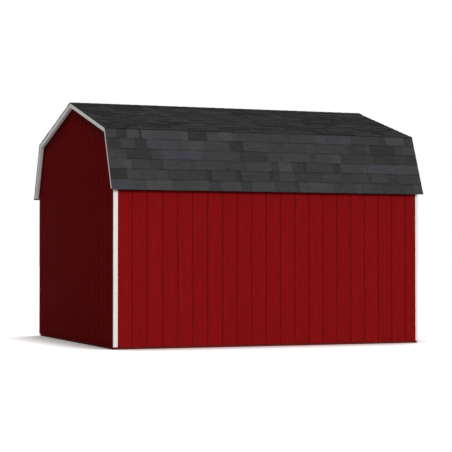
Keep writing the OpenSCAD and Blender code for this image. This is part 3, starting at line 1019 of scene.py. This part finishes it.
# %% Nail the corner boards and the casing
CORNER_WIDTH, CASING_WIDTH = 0.058, 0.064
TRIM_NAIL_RADIUS = 0.003
TRIM_STEP = 0.4
TRIM_INSET, CASING_INSET = 0.06, 0.12
PAIR = (-0.017, 0.017)


def spaced(low, high, inset):
    """Evenly spaced places between two ends, about a step apart."""
    count = max(2, round((high - low - 2 * inset) / TRIM_STEP) + 1)
    return np.linspace(low + inset, high - inset, count)


def trim_nails(name, spots, facing, material):
    """Small nails in a white board."""
    nail_rows(name, spots, facing, material, TRIM_NAIL_RADIUS)


trim_low, trim_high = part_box("corner_boards")
casing_low, casing_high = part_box("door_side_casings")
corner_levels = spaced(side_foot, eave_edge[1], TRIM_INSET)
corner_y = end_face - CORNER_WIDTH / 2
for side_name, side in SIDES:
    spots = [(side * trim_high.x, corner_y + gap, z) for z in corner_levels for gap in PAIR]
    trim_nails(side_name + "_corner_nails", spots, (side, 0, 0), upright_nail)

trim_spots = []
for middle, face_y, levels in (
    (side_face - CORNER_WIDTH / 2, trim_low.y, corner_levels),
    (casing_high.x - CASING_WIDTH / 2, casing_low.y, spaced(casing_low.z, casing_high.z, CASING_INSET)),
):
    trim_spots += [
        (side * (middle + gap), face_y, z) for side in (-1, 1) for z in levels for gap in PAIR
    ]
head_z = (door_low.z + door_high.z) / 2
head_places = spaced(door_low.x, door_high.x, TRIM_INSET)
trim_spots += [(x, door_low.y, head_z + gap) for x in head_places for gap in PAIR]
trim_nails("front_trim_nails", trim_spots, (0, -1, 0), upright_nail)

# %% Nail the rakes
RAKE_MIDDLE, RAKE_INSET = 0.028, 0.09

rake_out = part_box("left_upper_rakes")[1].y
rake_spots = []
for side in (-1, 1):
    for low_end, high_end in ((eave_edge, break_edge), (break_edge, ridge)):
        slope = Slope(low_end, high_end, side)
        for run in spaced(0.0, slope.length, RAKE_INSET):
            rake_spots.append(slope.point(run, 0.0, -RAKE_MIDDLE))
for end_name, end in (("back", 1), ("front", -1)):
    spots = [(x, end * rake_out, z) for x, _, z in rake_spots]
    trim_nails(end_name + "_rake_nails", spots, (0, end, 0), rake_nail)

# %% [markdown]
# ## Door furniture
# A strap hinge is a tapered strap on the leaf, a plate on the casing and knuckles rolled round a pin
# between them. Each is a short prism with eased edges. The solids have all of it in one plain shape, and
# a bevel on that would crumple at the thin barrel, so the prisms are made anew at the same places. The
# pull handle is one bent rod with a round foot at each end: a path with a ring of points carried along
# it.

# %% Set out the hinges
PLATE_WIDTH = 0.044
HINGE_INSET = 0.19

leaf_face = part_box("left_door_leaf")[0].y
leaf_low, leaf_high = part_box("right_door_leaf")
pin_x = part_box("door_hinges")[1].x - PLATE_WIDTH
leaf_middle = (leaf_low.z + leaf_high.z) / 2
hinge_levels = [leaf_low.z + HINGE_INSET, leaf_middle, leaf_high.z - HINGE_INSET]
print("hinges at", [round(level, 3) for level in hinge_levels])

# %% Cut the hinge steel
HINGE_STEEL = 0.004
PIN_RADIUS = 0.007
STEEL_EASE = 0.0008
ROUND_SIDES = 24


class Steelwork:
    """Collects eased prisms of steel into one mesh."""

    def __init__(self):
        self.points = []
        self.faces = []

    def prism(self, outline, shift):
        """A prism from a flat outline and the way to its other end."""
        count = len(outline)
        work = bmesh.new()
        near = [work.verts.new(point) for point in outline]
        far = [work.verts.new(Vector(point) + Vector(shift)) for point in outline]
        work.faces.new(near)
        work.faces.new(far)
        for index in range(count):
            beside = (index + 1) % count
            work.faces.new([near[index], near[beside], far[beside], far[index]])
        bmesh.ops.recalc_face_normals(work, faces=work.faces)
        points, faces = ease_edges(work, STEEL_EASE)
        self.faces += counted_from(len(self.points), faces)
        self.points += points

    def sheet(self, level, *ends):
        """A flat piece of hinge steel on the leaf's face, between two ends of a place and a height."""
        (x, height), (end_x, end_height) = ends
        outline = [(x, -height), (x, height), (end_x, end_height), (end_x, -end_height)]
        self.prism([(x, leaf_face, level + z / 2) for x, z in outline], (0.0, -HINGE_STEEL, 0.0))

    def barrel(self, x, z, height, radius):
        """An upright round piece in the line of the pin."""
        y = leaf_face - PIN_RADIUS
        turns = around(ROUND_SIDES)
        ring = [(x + radius * math.cos(angle), y + radius * math.sin(angle), z) for angle in turns]
        self.prism(ring, (0.0, 0.0, height))


# %% Hang the hinges
PLATE_HEIGHT = 0.120
STRAP_LENGTH, STRAP_HEIGHT, STRAP_TIP = 0.260, 0.042, 0.022
KNUCKLES = 3
KNUCKLE_GAP = 0.0010
CORE_RADIUS = 0.6 * PIN_RADIUS

steelwork = Steelwork()
knuckle = STRAP_HEIGHT / KNUCKLES
for side in (-1, 1):
    pin, tip, edge = side * pin_x, side * (pin_x - STRAP_LENGTH), side * (pin_x + PLATE_WIDTH)
    for level in hinge_levels:
        foot = level - STRAP_HEIGHT / 2
        steelwork.sheet(level, (pin, STRAP_HEIGHT), (tip, STRAP_TIP))
        steelwork.sheet(level, (pin, PLATE_HEIGHT), (edge, PLATE_HEIGHT))
        for index in range(KNUCKLES):
            start = foot + index * knuckle + KNUCKLE_GAP / 2
            steelwork.barrel(pin, start, knuckle - KNUCKLE_GAP, PIN_RADIUS)
        steelwork.barrel(pin, foot - KNUCKLE_GAP, STRAP_HEIGHT + 2 * KNUCKLE_GAP, CORE_RADIUS)
add_piece("strap_hinges", steelwork.points, steelwork.faces, black_steel, ("door_hinges",))
print("strap hinges", len(steelwork.faces), "faces")

# %% Drive the hinge screws
STRAP_SCREWS = (0.045, 0.12, 0.195, 0.24)
PLATE_SCREWS = (-0.045, 0.0, 0.045)
PLATE_SCREW_OUT = 0.027
SCREW_RADIUS = 0.0055

hinge_face = leaf_face - HINGE_STEEL
screw_spots = []
for side in (-1, 1):
    for level in hinge_levels:
        for back in STRAP_SCREWS:
            screw_spots.append((side * (leaf_high.x - back), hinge_face, level))
        for rise in PLATE_SCREWS:
            screw_spots.append((side * (leaf_high.x + PLATE_SCREW_OUT), hinge_face, level + rise))
nail_rows("hinge_screws", screw_spots, (0, -1, 0), black_steel, SCREW_RADIUS)

# %% Set out the pull handle
handle_low, handle_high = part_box("door_handle")
ROD_RADIUS = (handle_high.x - handle_low.x) / 2
ROD_SIDES = 14
BEND_RADIUS = 0.016
BEND_STEPS = 6


def rod_path():
    """Middle line of the handle, from the leaf out, along and back, with round bends."""
    x = (handle_low.x + handle_high.x) / 2
    bend_y = handle_low.y + ROD_RADIUS + BEND_RADIUS
    low_z = handle_low.z + 2 * ROD_RADIUS
    high_z = handle_high.z - 2 * ROD_RADIUS
    path = [(x, leaf_face, low_z)]
    for bend_z, start in ((low_z + BEND_RADIUS, -90), (high_z - BEND_RADIUS, 0)):
        for step in range(BEND_STEPS + 1):
            angle = math.radians(start + 90 * step / BEND_STEPS)
            y = bend_y - BEND_RADIUS * math.cos(angle)
            path.append((x, y, bend_z + BEND_RADIUS * math.sin(angle)))
    path.append((x, leaf_face, high_z))
    return np.array(path)


def rod_mesh(path):
    """A round rod along a path that stays in one upright plane."""
    points = []
    across = np.array([1.0, 0.0, 0.0])
    for index, middle in enumerate(path):
        ahead = path[min(index + 1, len(path) - 1)] - path[max(index - 1, 0)]
        ahead /= np.linalg.norm(ahead)
        aside = np.cross(ahead, across)
        for angle in around(ROD_SIDES):
            out = math.cos(angle) * across + math.sin(angle) * aside
            points.append(tuple(middle + ROD_RADIUS * out))
    faces = ring_faces(len(path), ROD_SIDES)
    faces += [list(range(ROD_SIDES)), list(range(len(points) - ROD_SIDES, len(points)))]
    return points, faces


path = rod_path()
print("handle's path has", len(path), "points")

# %% Bend the pull handle
FOOT_RADIUS = 0.017
FOOT_THICK = 0.005
FOOT_SIDES = 20

rod_points, rod_faces = rod_mesh(path)
foot_shape, foot_faces = dome(FOOT_RADIUS, FOOT_THICK, 0.0, FOOT_SIDES)
for foot_z in (path[0][2], path[-1][2]):
    rod_faces += counted_from(len(rod_points), foot_faces)
    rod_points += [(path[0][0] + x, leaf_face - z, foot_z + y) for x, y, z in foot_shape]
handle = add_piece("pull_handle", rod_points, rod_faces, black_steel, ("door_handle",))
handle.data.shade_smooth()
print("handle", len(rod_faces), "faces")

# %% [markdown]
# ## The rest of the frame
# Studs, plates, joists, rafters and sheets keep their own solids. Each takes the timber whose grain runs
# along it: studs are upright, plates and rims run with the ridge, joists and end plates across it.

# %% Finish the framing
FRAMING = (
    (treated["X"], ("floor_joists", "door_sill")),
    (treated["Y"], ("floor_rims",)),
    (spruce["X"], ("end_plates", "door_header", "left_upper_rafters", "right_upper_rafters")),
    (spruce["Y"], ("side_plates",)),
    (spruce["Z"], ("side_studs", "end_studs", "gable_studs", "left_lower_rafters", "right_lower_rafters")),
    (flakes, ("left_upper_deck", "right_upper_deck", "left_lower_deck", "right_lower_deck")),
    (flakes, ("floor_deck", "ridge_gussets", "break_gussets")),
)

for material, nodes in FRAMING:
    for node in nodes:
        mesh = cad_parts[node].data
        mesh.materials.clear()
        mesh.materials.append(material)
print("finished", sum(len(nodes) for _, nodes in FRAMING), "framing nodes")
